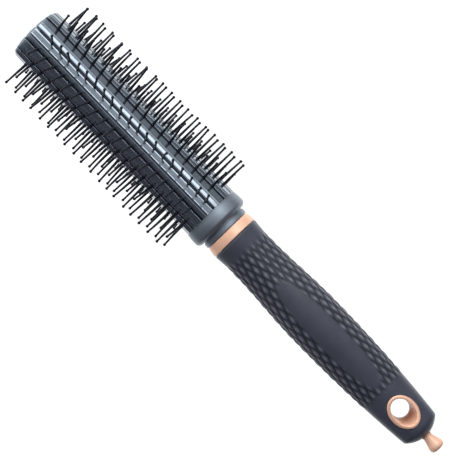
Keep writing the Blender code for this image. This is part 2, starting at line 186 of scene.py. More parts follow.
# Studio. Directions are (across to the lit side, along to the tail, back to the camera)
LIGHT_TARGET = Vector((0, 0, 116 * MM))
LIGHT_DISTANCE = 1.0
KEY_DIRECTION = (0.525, -0.33, 0.79)
KEY_SIZE = (0.46, 0.6)
KEY_WATTS = 1.95
FILL_DIRECTION = (0.85, -0.2, 0.45)
FILL_SIZE = (0.8, 0.8)
FILL_WATTS = 5.0
GLOW_DIRECTION = (0.43, -0.6, 0.75)
GLOW_RANGE = (0.28, 1.0)  # cosines of the angles where it fades out and where it is full
ROOM_GLOW = 0.72
GLOW_TINT = (0.96, 1.0, 1.06)
ROOM_DARK = 0.075
DARK_TINT = (0.93, 0.93, 1.25)
WALL_DIRECTION = (0.15, 0.0, -1.0)
WALL_RANGE = (0.2, 0.9)
WALL_LEVEL = 1.3
GROUND_RANGE = (0.18, 0.8)
GROUND_LEVEL = 1.1
SEEN_LEVEL = 1.05  # of the world as the camera sees it
FLOOR_HALF_SIZE = 1.5
FLOOR_GLOW = 0.9


# --- small helpers ---------------------------------------------------------------------------


def mix(a, b, amount):
    """From a, at amount 0, to b, at amount 1."""
    return a + (b - a) * amount


def smoothstep(low, high, value):
    """Rises smoothly from 0 to 1 while the value goes from low to high."""
    t = np.clip((value - low) / (high - low), 0.0, 1.0)
    return t * t * (3 - 2 * t)


def spaced(start, end, steps):
    """Evenly spaced values with both ends in."""
    return [mix(start, end, i / steps) for i in range(steps + 1)]


def arc(center_r, center_z, radius, start_degrees, end_degrees, steps):
    """Points of an arc in the profile plane, counted from +R towards +Z."""
    points = []
    for i in range(steps + 1):
        angle = math.radians(mix(start_degrees, end_degrees, i / steps))
        points.append((center_r + radius * math.cos(angle), center_z + radius * math.sin(angle)))
    return points


def grid_faces(rows, columns, close_rows=False):
    """Quads of a grid whose columns run round and join up."""
    faces = []
    for i in range(rows if close_rows else rows - 1):
        below, above = i * columns, ((i + 1) % rows) * columns
        for j in range(columns):
            k = (j + 1) % columns
            faces.append((below + j, below + k, above + k, above + j))
    return faces


def mesh_piece(name, points, faces, material, sharp_degrees):
    """An object from points and faces, facing outwards and shaded smooth."""
    mesh = bpy.data.meshes.new(name)
    mesh.from_pydata([tuple(p) for p in points], [], faces)
    bm = bmesh.new()
    bm.from_mesh(mesh)
    bmesh.ops.remove_doubles(bm, verts=bm.verts, dist=0.002 * MM)
    bmesh.ops.recalc_face_normals(bm, faces=bm.faces)
    bm.to_mesh(mesh)
    bm.free()
    mesh.shade_smooth()
    mesh.set_sharp_from_angle(angle=math.radians(sharp_degrees))
    obj = bpy.data.objects.new(name, mesh)
    bpy.context.scene.collection.objects.link(obj)
    if material:
        mesh.materials.append(material)
    return obj


def turned_piece(name, profile, material, segments, closed=False, sharp_degrees=40):
    """Turns (radius, height) points about Z. An open profile starts and ends on the axis."""
    angles = [2 * math.pi * j / segments for j in range(segments)]
    points = [(r * math.cos(a), r * math.sin(a), z) for r, z in profile for a in angles]
    faces = grid_faces(len(profile), segments, closed)
    return mesh_piece(name, points, faces, material, sharp_degrees)


def bake_modifiers(obj):
    """Applies the object's modifiers to its mesh."""
    bpy.context.view_layer.update()
    graph = bpy.context.evaluated_depsgraph_get()
    baked = bpy.data.meshes.new_from_object(obj.evaluated_get(graph))
    obj.modifiers.clear()
    obj.data = baked


def boolean(target, other, operation):
    """Cuts or joins with the other object, which is then removed."""
    modifier = target.modifiers.new(operation, "BOOLEAN")
    modifier.operation = operation
    modifier.object = other
    bake_modifiers(target)
    bpy.data.objects.remove(other)


def put_in_place(obj, slot, *nodes):
    """Makes the object the looks of these nodes. The slot is not used."""
    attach(obj, "root")
    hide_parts(*nodes)


# --- materials -------------------------------------------------------------------------------


class Shader:
    """A material's node tree, with short calls for the nodes that are used here."""

    def __init__(self, name):
        self.material = bpy.data.materials.new(name)
        self.material.use_nodes = True
        self.nodes = self.material.node_tree.nodes
        self.links = self.material.node_tree.links
        self.surface = self.nodes["Principled BSDF"]
        self.place = self.nodes.new("ShaderNodeTexCoord").outputs["Object"]

    def set(self, **values):
        """Sets surface inputs by name, with _ for a space."""
        for name, value in values.items():
            self.surface.inputs[name.replace("_", " ")].default_value = value

    def noise(self, size, detail=3.0):
        """Noise whose features are about size metres across."""
        noise = self.nodes.new("ShaderNodeTexNoise")
        noise.inputs["Scale"].default_value = 1 / size
        noise.inputs["Detail"].default_value = detail
        noise.inputs["Roughness"].default_value = 0.55
        self.links.new(self.place, noise.inputs["Vector"])
        return noise.outputs["Fac"]

    def ramp(self, value, low, high, from_low=0.3, from_high=0.7):
        """Goes from low to high while the value goes from from_low to from_high. The defaults
        suit noise."""
        node = self.nodes.new("ShaderNodeMapRange")
        node.inputs["From Min"].default_value = from_low
        node.inputs["From Max"].default_value = from_high
        node.inputs["To Min"].default_value = low
        node.inputs["To Max"].default_value = high
        self.links.new(value, node.inputs["Value"])
        return node.outputs["Result"]

    def blend_colors(self, amount, first, second):
        """Two colours, or a colour and an earlier blend, mixed by amount."""
        node = self.nodes.new("ShaderNodeMix")
        node.data_type = "RGBA"
        self.links.new(amount, node.inputs["Factor"])
        for socket, color in ((node.inputs[6], first), (node.inputs[7], second)):
            if isinstance(color, tuple):
                socket.default_value = (*color, 1.0)
            else:
                self.links.new(color, socket)
        return node.outputs[2]

    def along(self, axis):
        """The place's own X, Y or Z."""
        node = self.nodes.new("ShaderNodeSeparateXYZ")
        self.links.new(self.place, node.inputs["Vector"])
        return node.outputs[axis]

    def size_of(self, value):
        """The value without its sign."""
        node = self.nodes.new("ShaderNodeMath")
        node.operation = "ABSOLUTE"
        self.links.new(value, node.inputs[0])
        return node.outputs["Value"]

    def add(self, first, second):
        node = self.nodes.new("ShaderNodeMath")
        self.links.new(first, node.inputs[0])
        self.links.new(second, node.inputs[1])
        return node.outputs["Value"]

    def attribute(self, name):
        node = self.nodes.new("ShaderNodeAttribute")
        node.attribute_name = name
        return node.outputs["Fac"]

    def link(self, output, name):
        self.links.new(output, self.surface.inputs[name])

    def color(self, output):
        self.link(output, "Base Color")

    def roughness(self, output):
        self.link(output, "Roughness")

    def bump(self, height, distance, strength):
        node = self.nodes.new("ShaderNodeBump")
        node.inputs["Distance"].default_value = distance
        node.inputs["Strength"].default_value = strength
        self.links.new(height, node.inputs["Height"])
        self.link(node.outputs["Normal"], "Normal")


def barrel_plastic(name="barrel_finish"):
    """Grey-teal moulding with fine metal flake under a skin that is glossy on the ribs and satin
    on the shoulder and neck."""
    shader = Shader(name)
    shader.set(IOR=1.5)
    flake = shader.noise(0.16 * MM, 2.0)
    cloud = shader.noise(14 * MM, 2.0)
    tone = shader.blend_colors(shader.ramp(cloud, 0.0, 1.0), (0.245, 0.285, 0.33), (0.28, 0.325, 0.37))
    shader.color(shader.blend_colors(shader.ramp(flake, 0.0, 0.4), tone, (0.35, 0.40, 0.445)))
    satin = shader.ramp(shader.along("Z"), 0.0, SHOULDER_SATIN, SHOULDER_Z, SHOULDER_Z + 0.5 * MM)
    shader.roughness(shader.add(shader.ramp(shader.noise(5 * MM), 0.06, 0.1), satin))
    shader.link(shader.ramp(satin, 0.94, 0.86, 0.0, SHOULDER_SATIN), "Metallic")
    shader.bump(flake, 0.001 * MM, 0.4)
    return shader.material


def pin_nylon():
    """Black nylon with a soft gloss."""
    shader = Shader("pin_nylon_finish")
    shader.set(IOR=1.5, Specular_IOR_Level=0.36, Specular_Tint=(0.62, 0.76, 1.0, 1.0))
    cloud = shader.noise(6 * MM)
    dark, light = (0.006, 0.006, 0.009), (0.012, 0.011, 0.016)
    shader.color(shader.blend_colors(shader.ramp(cloud, 0.0, 1.0), dark, light))
    shader.roughness(shader.ramp(shader.noise(1.2 * MM), 0.22, 0.32))
    shader.bump(shader.noise(0.25 * MM, 2.0), 0.01 * MM, 0.5)
    return shader.material


def grip_rubber():
    """Soft-touch rubber, smoother where hands polish the scales' tops. The tops' lighter colour is partly
    wear and partly painted highlight, and painted shade darkens the grooves between them."""
    shader = Shader("grip_rubber_finish")
    shader.set(IOR=1.5, Sheen_Weight=0.14, Sheen_Roughness=0.45, Sheen_Tint=(0.82, 0.85, 1.0, 1.0))
    cloud = shader.noise(9 * MM)
    tone = shader.blend_colors(shader.ramp(cloud, 0.0, 1.0), (0.037, 0.042, 0.059), (0.049, 0.055, 0.076))
    level = shader.attribute("relief")
    on_top = shader.ramp(level, 0.0, 1.0, 0.58, 0.95)
    # painted shade: darker colour in the grooves between the scales
    groove_shade = shader.ramp(level, 1.0, 0.0, 0.0, 0.42)
    # lighter colour on the scales' tops: partly wear, partly painted highlight
    worn_and_lit_tops = shader.blend_colors(on_top, tone, (0.125, 0.135, 0.165))
    shader.color(shader.blend_colors(groove_shade, worn_and_lit_tops, (0.012, 0.014, 0.021)))
    polish = shader.ramp(level, 0.0, -0.16, 0.5, 1.0)
    shader.roughness(shader.add(shader.ramp(shader.noise(3 * MM), 0.36, 0.46), polish))
    shader.link(shader.ramp(level, 0.5, 1.0, 0.5, 1.0), "Specular IOR Level")
    shader.bump(shader.noise(0.12 * MM, 3.0), 0.01 * MM, 0.6)
    return shader.material


def rose_gold(name, funnel=False):
    """Satin metallic paint with a soft, slightly uneven sheen. In a funnel along Y, painted shade darkens it
    towards the middle, deep in the hole."""
    shader = Shader(name)
    shader.set(Metallic=0.3, IOR=1.5)
    cloud = shader.noise(5 * MM)
    tone = shader.blend_colors(shader.ramp(cloud, 0.0, 1.0), (0.92, 0.54, 0.37), (0.97, 0.6, 0.43))
    if funnel:
        # painted shade: the funnel's colour darkens towards the throat
        depth = shader.ramp(shader.size_of(shader.along("Y")), 1.0, 0.0, THROAT_SHADE_REACH, FUNNEL_SHADE_END)
        tone = shader.blend_colors(depth, tone, (0.42, 0.2, 0.13))
    shader.color(tone)
    shader.roughness(shader.ramp(shader.noise(1.5 * MM), 0.33, 0.45))
    shader.bump(shader.noise(0.2 * MM, 2.0), 0.004 * MM, 0.5)
    return shader.material


def inner_plastic(name):
    """Plain dark moulding of the hidden parts."""
    shader = Shader(name)
    cloud = shader.noise(4 * MM)
    shader.color(shader.blend_colors(shader.ramp(cloud, 0.0, 1.0), (0.04, 0.045, 0.05), (0.06, 0.065, 0.07)))
    shader.roughness(shader.ramp(cloud, 0.45, 0.6))
    shader.bump(shader.noise(0.3 * MM, 2.0), 0.01 * MM, 0.5)
    return shader.material


# --- barrel ----------------------------------------------------------------------------------


def row_angle(row):
    """Where the row's slot and pins stand around the axis."""
    return FIRST_ROW_ANGLE + row * 2 * math.pi / ROWS


def barrel_radius(z):
    """Up to the crests of the ribs."""
    return mix(TIP_RADIUS, ROOT_RADIUS, z / SHOULDER_Z)


def rounded_corner(before, corner, after, size, steps):
    """A corner cut back by size on both sides and joined by a curve."""
    start = corner + (before - corner).normalized() * size
    end = corner + (after - corner).normalized() * size
    points = []
    for i in range(steps + 1):
        t = i / steps
        points.append(start * (1 - t) ** 2 + corner * 2 * t * (1 - t) + end * t * t)
    return points


def rib_half(radius, floor_radius, side, with_line):
    """Half a rib, from its crest to the slot's floor on the side given as 1 or -1: a fine bead
    on the crest, a flat with or without a fine line pressed in, a rounded edge and a wall."""
    crest = Vector((radius, 0))
    along = Vector((math.cos(HALF_STEP), side * math.sin(HALF_STEP)))  # towards the slot's middle
    across = Vector((math.sin(HALF_STEP), -side * math.cos(HALF_STEP)))  # from there to this rib
    low = along * radius * SLOT_SINK
    mouth = low + (crest - low) * (SLOT_WIDTH / 2) / (radius * math.sin(HALF_STEP))
    flat = (low - crest).normalized()
    inward = Vector((-flat.y, flat.x)) * side
    points = []
    for step in (0.15, 0.3, 0.45, 0.6, 0.8, 1.0):
        out = BEAD_HEIGHT * (1 + math.cos(math.pi * step)) / 2
        points.append(crest + flat * BEAD_HALF_WIDTH * step + Vector((out, 0)))
    if with_line:
        for step in spaced(-1.0, 1.0, 8):
            sunk = LINE_DEPTH * (1 + math.cos(math.pi * step)) / 2
            points.append(crest + flat * (LINE_FROM_CREST + step * LINE_HALF_WIDTH) + inward * sunk)
    else:
        points.append(crest + flat * (BEAD_HALF_WIDTH + 0.1 * MM))
    points.append(crest + (mouth - crest) * 0.7)
    wall_foot = along * floor_radius + across * SLOT_WIDTH / 2
    points += rounded_corner(crest, mouth, wall_foot, SLOT_EDGE, 5)
    points.append(wall_foot)
    return points


def rib_section(radius, floor_radius):
    """One rib between two slots, seen along Z."""
    first = rib_half(radius, floor_radius, -1, False)
    second = rib_half(radius, floor_radius, 1, True)
    return [*reversed(first), Vector((radius + BEAD_HEIGHT, 0)), *second]


def ribbed_section(z):
    """All twelve ribs and the slots between them at height z."""
    inset = TIP_CURVE_DROP * max(1 - z / TIP_CURVE, 0.0) ** 2
    if z < TIP_EDGE:
        inset += TIP_EDGE - math.sqrt(TIP_EDGE**2 - (TIP_EDGE - z) ** 2)
    rib = rib_section(barrel_radius(z) - inset, BORE_RADIUS - 0.5 * MM)
    points = []
    for row in range(ROWS):
        angle = row_angle(row) + HALF_STEP
        cos_a, sin_a = math.cos(angle), math.sin(angle)
        points += [(p.x * cos_a - p.y * sin_a, p.x * sin_a + p.y * cos_a, z) for p in rib]
    return points


def capped_loft(name, sections, material, sharp_degrees):
    """A closed skin through sections with equal numbers of points."""
    columns = len(sections[0])
    points = [p for section in sections for p in section]
    faces = grid_faces(len(sections), columns)
    faces.append(tuple(reversed(range(columns))))
    last = (len(sections) - 1) * columns
    faces.append(tuple(range(last, last + columns)))
    return mesh_piece(name, points, faces, material, sharp_degrees)


def shoulder_profile(neck_end):
    """From the ring's collar down the neck, round the shoulder and back to the axis."""
    edge_r = SHOULDER_RADIUS - SHOULDER_EDGE
    edge_z = SHOULDER_BACK_Z - SHOULDER_EDGE
    groove_z = SHOULDER_BACK_Z + NECK_GROOVE_WIDTH
    soft = 0.2 * MM
    collar = NECK_RADIUS - COLLAR_RECESS
    profile = [(0.0, neck_end + COLLAR), (collar, neck_end + COLLAR), (collar, neck_end)]
    profile += [(NECK_RADIUS - soft, neck_end), (NECK_RADIUS, neck_end - soft)]
    profile += [(NECK_RADIUS, groove_z + soft), (NECK_RADIUS - soft, groove_z)]
    profile += [(NECK_RADIUS - NECK_GROOVE, groove_z), (NECK_RADIUS - NECK_GROOVE, SHOULDER_BACK_Z)]
    profile += arc(edge_r, edge_z, SHOULDER_EDGE, 90, 0, 12)
    for t in (0.15, 0.4, 0.7, 0.9):
        swell = math.sin(t * math.pi / 2)
        z = mix(SHOULDER_CREST_Z, SHOULDER_Z + 0.35 * MM, t)
        profile.append((SHOULDER_RADIUS - SHOULDER_SWELL * swell * t, z))
    profile += [(ROOT_RADIUS + 0.06 * MM, SHOULDER_Z + 0.12 * MM), (ROOT_RADIUS - 0.1 * MM, SHOULDER_Z)]
    profile.append((0.0, SHOULDER_Z))
    return profile


def build_barrel(material):
    """The ribbed tube joined to the shoulder and neck, then bored out so that the slots open."""
    neck_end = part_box("barrel")[1].z
    overlap = 1.0 * MM
    levels = [TIP_EDGE * (1 - math.cos(math.radians(a))) for a in (0, 12, 25, 40, 55, 72, 90)]
    levels += spaced(TIP_EDGE, TIP_CURVE, 5)[1:] + spaced(TIP_CURVE, SHOULDER_Z + overlap, 6)[1:]
    barrel = capped_loft("barrel_shell", [ribbed_section(z) for z in levels], material, 30)
    shoulder = turned_piece("shoulder", shoulder_profile(neck_end), None, 144)
    boolean(barrel, shoulder, "UNION")
    bore = [
        (0.0, neck_end + MM),
        (SPIGOT_BORE_RADIUS, neck_end + MM),
        (SPIGOT_BORE_RADIUS, SHOULDER_Z),
        (BORE_RADIUS, SHOULDER_Z),
        (BORE_RADIUS, -MM),
        (0.0, -MM),
    ]
    boolean(barrel, turned_piece("bore", bore, None, 96), "DIFFERENCE")
    barrel.data.shade_smooth()
    barrel.data.set_sharp_from_angle(angle=math.radians(24))
    put_in_place(barrel, "barrel_plastic", "barrel")


def build_tip_cap(material):
    """A plug with a dished face and a small pip in the middle of it."""
    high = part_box("tip_cap")[1]
    radius = high.x
    profile = [(0.0, high.z), (CAP_PLUG_RADIUS - CAP_EDGE, high.z)]
    profile += [(CAP_PLUG_RADIUS, high.z - CAP_EDGE), (CAP_PLUG_RADIUS, CAP_THICKNESS)]
    profile += [(radius, CAP_THICKNESS)]
    profile += arc(radius - CAP_EDGE, CAP_EDGE, CAP_EDGE, 0, -90, 6)
    profile += [(radius - 2.6 * MM, 0.0), (radius - 2.9 * MM, 0.1 * MM), (radius - 3.3 * MM, CAP_DISH)]
    profile += [(1.4 * MM, CAP_DISH), (1.1 * MM, CAP_DISH - 0.1 * MM), (0.0, CAP_DISH - 0.15 * MM)]
    cap = turned_piece("tip_cap_dished", profile, material, 96, sharp_degrees=30)
    put_in_place(cap, "cap_plastic", "tip_cap")


# --- bristle strips --------------------------------------------------------------------------


def tip_radius(z):
    """Up to the pins' tips."""
    return mix(FIRST_TIP_RADIUS, LAST_TIP_RADIUS, z / SHOULDER_Z)


def pin_profile(length):
    """(height, radius) up a pin: a flared root, a long taper and a ball."""
    ball_z = length - PIN_BALL_RADIUS
    profile = [(-0.5 * MM, PIN_ROOT_RADIUS * 1.15), (0.2 * MM, PIN_ROOT_RADIUS * 1.08)]
    profile += [(0.9 * MM, PIN_ROOT_RADIUS * 0.97)]
    for t in (0.2, 0.4, 0.6, 0.75):
        profile.append((t * length, mix(PIN_ROOT_RADIUS * 0.95, PIN_NECK_RADIUS, t / 0.8)))
    neck_angle = math.asin(PIN_NECK_RADIUS / PIN_BALL_RADIUS)
    profile.append((ball_z - PIN_BALL_RADIUS * math.cos(neck_angle) - 0.3 * MM, PIN_NECK_RADIUS))
    for i in range(8):
        angle = mix(math.pi - neck_angle, 0.0, i / 7)
        profile.append((ball_z + PIN_BALL_RADIUS * math.cos(angle), PIN_BALL_RADIUS * math.sin(angle)))
    return profile


def add_pin(points, faces, base, length, random):
    """Adds one pin that stands along +X, leans a little and bends towards its tip. Its root is
    narrower across the slot than along it."""
    lean = Vector((0, *random.normal(0, PIN_LEAN, 2)))
    bend = Vector((0, *random.normal(0, PIN_BEND, 2)))
    first = len(points)
    profile = pin_profile(length + random.normal(0, PIN_LENGTH_SPREAD))
    for height, radius in profile:
        t = max(height, 0.0) / length
        middle = base + Vector((height, 0, 0)) + lean * height + bend * t * t
        flat = mix(PIN_ROOT_FLATNESS, 1.0, min(t / 0.5, 1.0))
        for j in range(PIN_SIDES):
            angle = 2 * math.pi * j / PIN_SIDES
            points.append(middle + Vector((0, flat * math.cos(angle), math.sin(angle))) * radius)
    faces += [tuple(first + v for v in f) for f in grid_faces(len(profile), PIN_SIDES)]
    faces.append(tuple(first + j for j in reversed(range(PIN_SIDES))))


def add_bar(points, faces, low, high, taper=0.0):
    """A box from low to high whose outer side rises by taper from bottom to top."""
    first = len(points)
    for x, y, z in ((x, y, z) for z in (0, 1) for x, y in ((0, 0), (1, 0), (1, 1), (0, 1))):
        corner = Vector((mix(low.x, high.x, x), mix(low.y, high.y, y), mix(low.z, high.z, z)))
        corner.x += taper * x * z
        points.append(corner)
    sides = [(0, 1, 5, 4), (1, 2, 6, 5), (2, 3, 7, 6), (3, 0, 4, 7), (3, 2, 1, 0), (4, 5, 6, 7)]
    faces += [tuple(first + v for v in side) for side in sides]


def build_strip(row, material, random):
    """One strip along +X, turned to its slot afterwards."""
    low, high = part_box("bristle_strip_01")
    points, faces = [], []
    foot_inner = FOOT_TOP_RADIUS - FOOT_THICKNESS
    foot_low = Vector((foot_inner, -FOOT_WIDTH / 2, low.z))
    foot_high = Vector((FOOT_TOP_RADIUS, FOOT_WIDTH / 2, high.z))
    add_bar(points, faces, foot_low, foot_high)
    web_low = Vector((foot_inner + WEB_INSET, -WEB_WIDTH / 2, low.z + WEB_INSET))
    web_high = Vector((barrel_radius(low.z) - WEB_RECESS, WEB_WIDTH / 2, high.z - WEB_INSET))
    add_bar(points, faces, web_low, web_high, barrel_radius(high.z) - barrel_radius(low.z))
    for i in range(PINS_PER_ROW):
        z = FIRST_PIN_Z[row % 2] + i * PIN_PITCH
        base = Vector((barrel_radius(z) - WEB_RECESS, 0, z))
        add_pin(points, faces, base, tip_radius(z) - base.x, random)
    strip = mesh_piece(f"pin_row_{row + 1:02d}", points, faces, material, 50)
    strip.data.transform(Matrix.Rotation(row_angle(row), 4, "Z"))
    put_in_place(strip, "pin_nylon", f"bristle_strip_{row + 1:02d}")


# --- handle ----------------------------------------------------------------------------------


def grip_radius(z, grip_start):
    """Half the handle's width at this height."""
    if z < WAIST_Z:
        t = (z - grip_start) / (WAIST_Z - grip_start)
        return WAIST_RADIUS + (GRIP_START_RADIUS - WAIST_RADIUS) * (1 - t) ** 2
    if z < BELLY_Z:
        t = (z - WAIST_Z) / (BELLY_Z - WAIST_Z)
        return mix(WAIST_RADIUS, BELLY_RADIUS, (1 - math.cos(math.pi * t)) / 2)
    t = (z - BELLY_Z) / (TAIL_EDGE_Z - BELLY_Z)
    return mix(BELLY_RADIUS, TAIL_RADIUS, t**TAIL_TAPER_POWER)


def flatness(z):
    """The handle's thickness along Y over its width along X."""
    return mix(1.0, TAIL_FLATNESS, smoothstep(FLAT_FROM_Z, FLAT_TO_Z, z))


def relief(angle, z, radius):
    """The scales' height, from 0 in the grooves to 1 on top, and how much of it applies here."""
    along = (z - TEXTURE_START_Z) / (SCALE_LENGTH / 2)
    around = angle * SCALES_AROUND / math.pi
    first = np.abs(np.cos(math.pi * (along + around) / 2))
    second = np.abs(np.cos(math.pi * (along - around) / 2))
    height = (first * second) ** SCALE_SHARPNESS
    amount = smoothstep(TEXTURE_START_Z - TEXTURE_FADE, TEXTURE_START_Z + TEXTURE_FADE, z)
    amount = amount * (1 - smoothstep(TEXTURE_END_Z - TEXTURE_FADE, TEXTURE_END_Z + TEXTURE_FADE, z))
    panel_middle = (PANEL_START_Z + PANEL_END_Z) / 2
    panel_half = (PANEL_END_Z - PANEL_START_Z) / 2
    across = np.where(np.cos(angle) > 0, radius * np.sin(angle), 1.0)
    oval = np.abs((z - panel_middle) / panel_half) ** PANEL_POWER
    oval = (oval + np.abs(across / PANEL_HALF_WIDTH) ** PANEL_POWER) ** (1 / PANEL_POWER)
    edge = PANEL_RIM / PANEL_HALF_WIDTH
    amount = amount * smoothstep(1.0, 1.0 + edge, oval)
    return height, amount


def build_grip(material):
    """A hollow skin of rings from the collar over the texture and the domed end and back inside,
    with the eyelet's hole cut through it."""
    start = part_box("grip_sleeve")[0].z
    columns = SCALES_AROUND * COLUMNS_PER_SCALE
    angles = np.arange(columns) * 2 * math.pi / columns
    fine = SCALE_LENGTH / LEVELS_PER_SCALE
    texture_top = TEXTURE_END_Z + TEXTURE_FADE
    levels = spaced(start + 0.3 * MM, TEXTURE_START_Z - TEXTURE_FADE, 8)[:-1]
    levels += list(np.arange(TEXTURE_START_Z - TEXTURE_FADE, texture_top, fine))
    levels += spaced(texture_top + 0.3 * MM, TAIL_EDGE_Z - 0.3 * MM, 18)
    collar = GRIP_START_RADIUS - COLLAR_RECESS
    rows = [(collar, start - COLLAR), (collar, start), (GRIP_START_RADIUS - 0.3 * MM, start)]
    rows += [(grip_radius(z, start), z) for z in levels]
    edge_degrees = math.degrees(math.acos((TAIL_RADIUS - DOME_EDGE) / DOME_RADIUS))
    rows += arc(0.0, DOME_TOP_Z - DOME_RADIUS, DOME_RADIUS, edge_degrees, DOME_END_DEGREES, 12)
    rows += [(STEM_HOLE_RADIUS, DOME_TOP_Z - 0.3 * MM), (STEM_HOLE_RADIUS, HOLLOW_END_Z)]
    rows += [(HOLLOW_TAIL_RADIUS - HOLLOW_CORNER, HOLLOW_END_Z)]
    rows += [(HOLLOW_TAIL_RADIUS, HOLLOW_END_Z - HOLLOW_CORNER), (HOLLOW_RADIUS, HOLLOW_TAPER_Z)]
    rows += [(HOLLOW_RADIUS, FLAT_FROM_Z), (HOLLOW_RADIUS, start - COLLAR)]
    textured = set(levels)

    points, relief_levels = [], []
    for radius, z in rows:
        if z in textured:
            height, amount = relief(angles, z, radius)
            lift = (height - SCALE_MIDDLE) * amount
        else:
            lift = np.zeros(columns)
        reach = radius + SCALE_HEIGHT * lift
        flat = flatness(z)
        for angle, r in zip(angles, reach):
            points.append((r * math.sin(angle), -r * math.cos(angle) * flat, z))
        relief_levels += list(0.5 + lift)
    grip = mesh_piece("grip_rubber_skin", points, grid_faces(len(rows), columns, True), material, 60)
    store_relief(grip, relief_levels)
    boolean(grip, eyelet_cutter(), "DIFFERENCE")
    grip.data.shade_smooth()
    grip.data.set_sharp_from_angle(angle=math.radians(50))
    put_in_place(grip, "grip_rubber", "grip_sleeve")


def store_relief(obj, values):
    """Keeps each point's level for the material: 0.5 where it is plain, more on the scales' tops
    and less in the grooves."""
    layer = obj.data.attributes.new("relief", "FLOAT", "POINT")
    layer.data.foreach_set("value", np.array(values, np.float32))


def eyelet_cutter():
    """An oval bar along Y, a little larger than the eyelet and longer than the grip is thick."""
    half_width, half_length = EYELET_HALF_WIDTH + EYELET_GAP, EYELET_HALF_LENGTH + EYELET_GAP
    reach = 15 * MM
    columns = 128
    turn = [2 * math.pi * j / columns for j in range(columns)]
    ends = []
    for y in (-reach, reach):
        ends.append([(half_width * math.cos(a), y, EYELET_Z + half_length * math.sin(a)) for a in turn])
    return capped_loft("eyelet_cut", ends, None, 30)


def build_ring(material):
    """A slightly crowned and tapered ring."""
    low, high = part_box("neck_ring")
    back = high.x
    profile = [(RING_BORE_RADIUS, high.z)]
    profile += arc(back - RING_EDGE, high.z - RING_EDGE, RING_EDGE, 90, 5, 6)
    for t in (0.25, 0.5, 0.75):
        crown = RING_CROWN * math.sin(math.pi * t)
        profile.append((mix(back, RING_FRONT_RADIUS, t) + crown, mix(high.z, low.z, t)))
    profile += arc(RING_FRONT_RADIUS - RING_EDGE, low.z + RING_EDGE, RING_EDGE, 0, -90, 6)
    profile += [(RING_BORE_RADIUS, low.z)]
    ring = turned_piece("neck_ring_turned", profile, material, 128, closed=True)
    put_in_place(ring, "ring_rose_gold", "neck_ring")


def handle_half_thickness(x, z, start):
    """How far from the middle, along Y, the eyelet's lip stands at this place."""
    radius = grip_radius(z, start) + EYELET_PROUD
    return flatness(z) * math.sqrt(max(radius**2 - x**2, 0.0))


def eyelet_point(kind, t, side, angle, start):
    """A point of the outside wall, the lip or the funnel, t of the way along it: the wall's t rises
    to the lip, the lip's t rises inwards, and the funnel's t falls to 0 in the throat."""
    cos_a, sin_a = math.cos(angle), math.sin(angle)
    outer = Vector((EYELET_HALF_WIDTH * cos_a, EYELET_Z + EYELET_HALF_LENGTH * sin_a))
    mouth = Vector((MOUTH_HALF_WIDTH * cos_a, EYELET_Z + MOUTH_HALF_LENGTH * sin_a))
    throat = Vector((THROAT_RADIUS * cos_a, THROAT_Z + THROAT_RADIUS * sin_a))
    if kind == "wall":
        place = outer
        depth = (handle_half_thickness(outer.x, outer.y, start) - LIP_SOFTNESS) * t
    elif kind == "lip":
        place = mix(outer, mouth, t)
        crown = LIP_SOFTNESS * math.sin(math.pi * t) ** 0.5
        depth = handle_half_thickness(place.x, place.y, start) - LIP_SOFTNESS + crown
    else:
        place = mix(throat, mouth, t**1.5)
        depth = (handle_half_thickness(mouth.x, mouth.y, start) - LIP_SOFTNESS) * t
    return (place.x, side * depth, place.y)


def build_eyelet(material):
    """A closed ring of sections: outside wall, lip, funnel, throat, and the same again behind."""
    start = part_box("grip_sleeve")[0].z
    columns = 96
    half = [("wall", t) for t in spaced(0.0, 1.0, 5)]
    half += [("lip", t) for t in spaced(0.0, 1.0, 12)]
    half += [("funnel", t) for t in spaced(1.0, 0.0, 14)[1:]]
    order = [(*section, -1) for section in half]
    order += [(*section, 1) for section in reversed(half[:-1])]
    points = []
    for kind, t, side in order:
        for j in range(columns):
            points.append(eyelet_point(kind, t, side, 2 * math.pi * j / columns, start))
    eyelet = mesh_piece("hang_eyelet_funnel", points, grid_faces(len(order), columns, True), material, 60)
    put_in_place(eyelet, "eyelet_rose_gold", "hang_eyelet")


def build_knob(material):
    """A round knob on a flared neck, with the stem that goes into the spine."""
    low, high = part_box("tail_knob")
    start = DOME_TOP_Z + 0.05 * MM
    profile = [(0.0, high.z)]
    profile += arc(KNOB_RADIUS - KNOB_EDGE, high.z - KNOB_EDGE, KNOB_EDGE, 85, 8, 10)
    for t in spaced(0.0, 1.0, 10):
        radius = mix(KNOB_NECK_RADIUS, KNOB_RADIUS, (1 - t) ** 1.35)
        profile.append((radius, mix(KNOB_WIDEST_Z, start + 0.5 * MM, t)))
    profile += [(KNOB_NECK_RADIUS + 0.12 * MM, start + 0.2 * MM), (KNOB_NECK_RADIUS + 0.2 * MM, start)]
    profile += [(KNOB_STEM_RADIUS, start), (KNOB_STEM_RADIUS, low.z), (0.0, low.z)]
    knob = turned_piece("tail_knob_turned", profile, material, 72)
    put_in_place(knob, "knob_rose_gold", "tail_knob")


def dress_inner_nodes():
    """The hidden core and spine keep their own meshes."""
    for node in ("strip_core", "handle_spine"):
        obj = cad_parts[node]
        obj.data.materials.clear()
        obj.data.materials.append(inner_plastic(node + "_finish"))


# --- studio ----------------------------------------------------------------------------------


def camera_axes():
    """The image's right and up directions and the way back to the camera, in the frame."""
    right = Vector((-math.sin(AXIS_SLOPE), 0, math.cos(AXIS_SLOPE)))
    up = Vector((-math.cos(AXIS_SLOPE), 0, -math.sin(AXIS_SLOPE)))
    return right, up, Vector((0, -1, 0))


